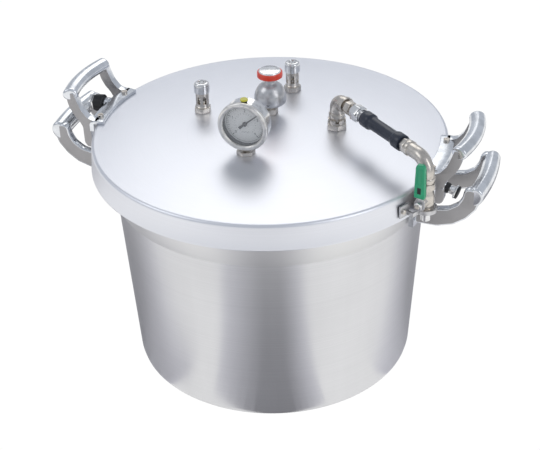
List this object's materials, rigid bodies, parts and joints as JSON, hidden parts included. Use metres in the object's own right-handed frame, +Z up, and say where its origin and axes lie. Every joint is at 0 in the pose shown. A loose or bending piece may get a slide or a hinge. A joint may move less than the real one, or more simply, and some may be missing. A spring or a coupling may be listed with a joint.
{
  "type": "pressure canner",
  "caption": "Large aluminium twist-lock pressure canner with side handles, dial gauge, weight regulator, safety valves and a lever-operated steam release line.",
  "frame": {"origin": "centre of the pot's base on the floor", "axes": "+Z up along the pot's axis, +X towards the right handle, -Y towards the user and the gauge's face"},
  "size_m": [0.669, 0.5252, 0.448],
  "materials": {
    "spun_aluminium": "brushed",
    "matte_aluminium": "fine matte",
    "polished_casting": "polished casting",
    "fitting_steel": "turned",
    "chrome_bezel": "bright",
    "black_plastic": "satin",
    "seal_rubber": "matte",
    "clear_glass": "clear",
    "dial_white": "printed",
    "needle_black": "matte",
    "yellow_plastic": "gloss",
    "red_plastic": "gloss",
    "green_plastic": "gloss",
    "knob_silver": "turned",
    "spring_steel": "drawn wire"
  },
  "bodies": {
    "pot": {"pot_shell": "spun_aluminium", "rim_ring": "matte_aluminium", "pot_handle_right": "polished_casting", "pot_handle_left": "polished_casting", "pot_rivets_right": "fitting_steel", "pot_rivets_left": "fitting_steel"},
    "seal": {"gasket": "seal_rubber"},
    "needle": {"gauge_needle": "needle_black"},
    "weight": {"regulator_weight": "fitting_steel", "regulator_ring": "red_plastic", "regulator_knob": "knob_silver"},
    "poppet_front": {"safety_poppet_front": "fitting_steel", "safety_spring_front": "spring_steel"},
    "poppet_back": {"safety_poppet_back": "fitting_steel", "safety_spring_back": "spring_steel"},
    "lever": {"valve_ball": "fitting_steel", "valve_stem": "fitting_steel", "lever_arm": "fitting_steel", "lever_sleeve": "green_plastic", "lever_nut": "fitting_steel"},
    "lock_right": {"lock_bolt_right": "fitting_steel", "lock_knob_right": "black_plastic"},
    "lock_left": {"lock_bolt_left": "fitting_steel", "lock_knob_left": "black_plastic"},
    "lid": {"bracket": "fitting_steel", "bracket_screw": "fitting_steel", "gauge_bezel": "chrome_bezel", "gauge_case": "chrome_bezel", "gauge_dial": "dial_white", "gauge_fill_cap": "yellow_plastic", "gauge_fill_plug": "black_plastic", "gauge_lens": "clear_glass", "gauge_socket": "fitting_steel", "grip_sleeve": "black_plastic", "inner_nut_gauge": "fitting_steel", "inner_nut_regulator": "fitting_steel", "inner_nut_safety_back": "fitting_steel", "inner_nut_safety_front": "fitting_steel", "inner_nut_steam": "fitting_steel", "lid_handle_left": "polished_casting", "lid_handle_right": "polished_casting", "lid_lug_ring": "matte_aluminium", "lid_screws_left": "fitting_steel", "lid_screws_right": "fitting_steel", "lid_shell": "spun_aluminium", "lock_sleeve_left": "black_plastic", "lock_sleeve_right": "black_plastic", "regulator_vent": "fitting_steel", "safety_body_back": "fitting_steel", "safety_body_front": "fitting_steel", "safety_cap_back": "fitting_steel", "safety_cap_front": "fitting_steel", "steam_base": "fitting_steel", "steam_elbow_inner": "fitting_steel", "steam_elbow_outer": "fitting_steel", "steam_nipple": "fitting_steel", "steam_nozzle": "fitting_steel", "steam_pipe": "fitting_steel", "union_nut": "fitting_steel", "valve_body": "fitting_steel"}
  },
  "joints": [
    {"name": "lid_lift", "type": "slide", "parent": "pot", "child": "seal", "axis": [0, 0, 1], "range_m": [0, 0.45]},
    {"name": "lid_twist", "type": "hinge", "parent": "seal", "child": "lid", "pos_m": [0, 0, 0.362], "axis": [0, 0, 1], "range_deg": [-22.5, 0]},
    {"name": "needle_swing", "type": "hinge", "parent": "lid", "child": "needle", "pos_m": [-0.009, -0.072, 0.4085], "axis": [0.0349, -0.9994, 0], "range_deg": [-270, 0]},
    {"name": "weight_lift", "type": "slide", "parent": "lid", "child": "weight", "axis": [0, 0, 1], "range_m": [0, 0.012]},
    {"name": "lever_turn", "type": "hinge", "parent": "lid", "child": "lever", "pos_m": [0.2595, -0.0935, 0.348], "axis": [0.2588, 0.9659, 0], "range_deg": [0, 90]},
    {"name": "poppet_front_lift", "type": "slide", "parent": "lid", "child": "poppet_front", "axis": [0, 0, 1], "range_m": [0, 0.0025], "stiffness_N_per_m": 2000, "springref_m": -0.004, "deforming": ["safety_spring_front"]},
    {"name": "poppet_back_lift", "type": "slide", "parent": "lid", "child": "poppet_back", "axis": [0, 0, 1], "range_m": [0, 0.0025], "stiffness_N_per_m": 2000, "springref_m": -0.004, "deforming": ["safety_spring_back"]},
    {"name": "lock_right_pull", "type": "slide", "parent": "lid", "child": "lock_right", "axis": [0.9579, -0.103, -0.2678], "range_m": [0, 0.002], "stiffness_N_per_m": 400, "springref_m": -0.002},
    {"name": "lock_left_pull", "type": "slide", "parent": "lid", "child": "lock_left", "axis": [-0.9956, -0.0498, -0.0796], "range_m": [0, 0.002], "stiffness_N_per_m": 400, "springref_m": -0.002}
  ]
}
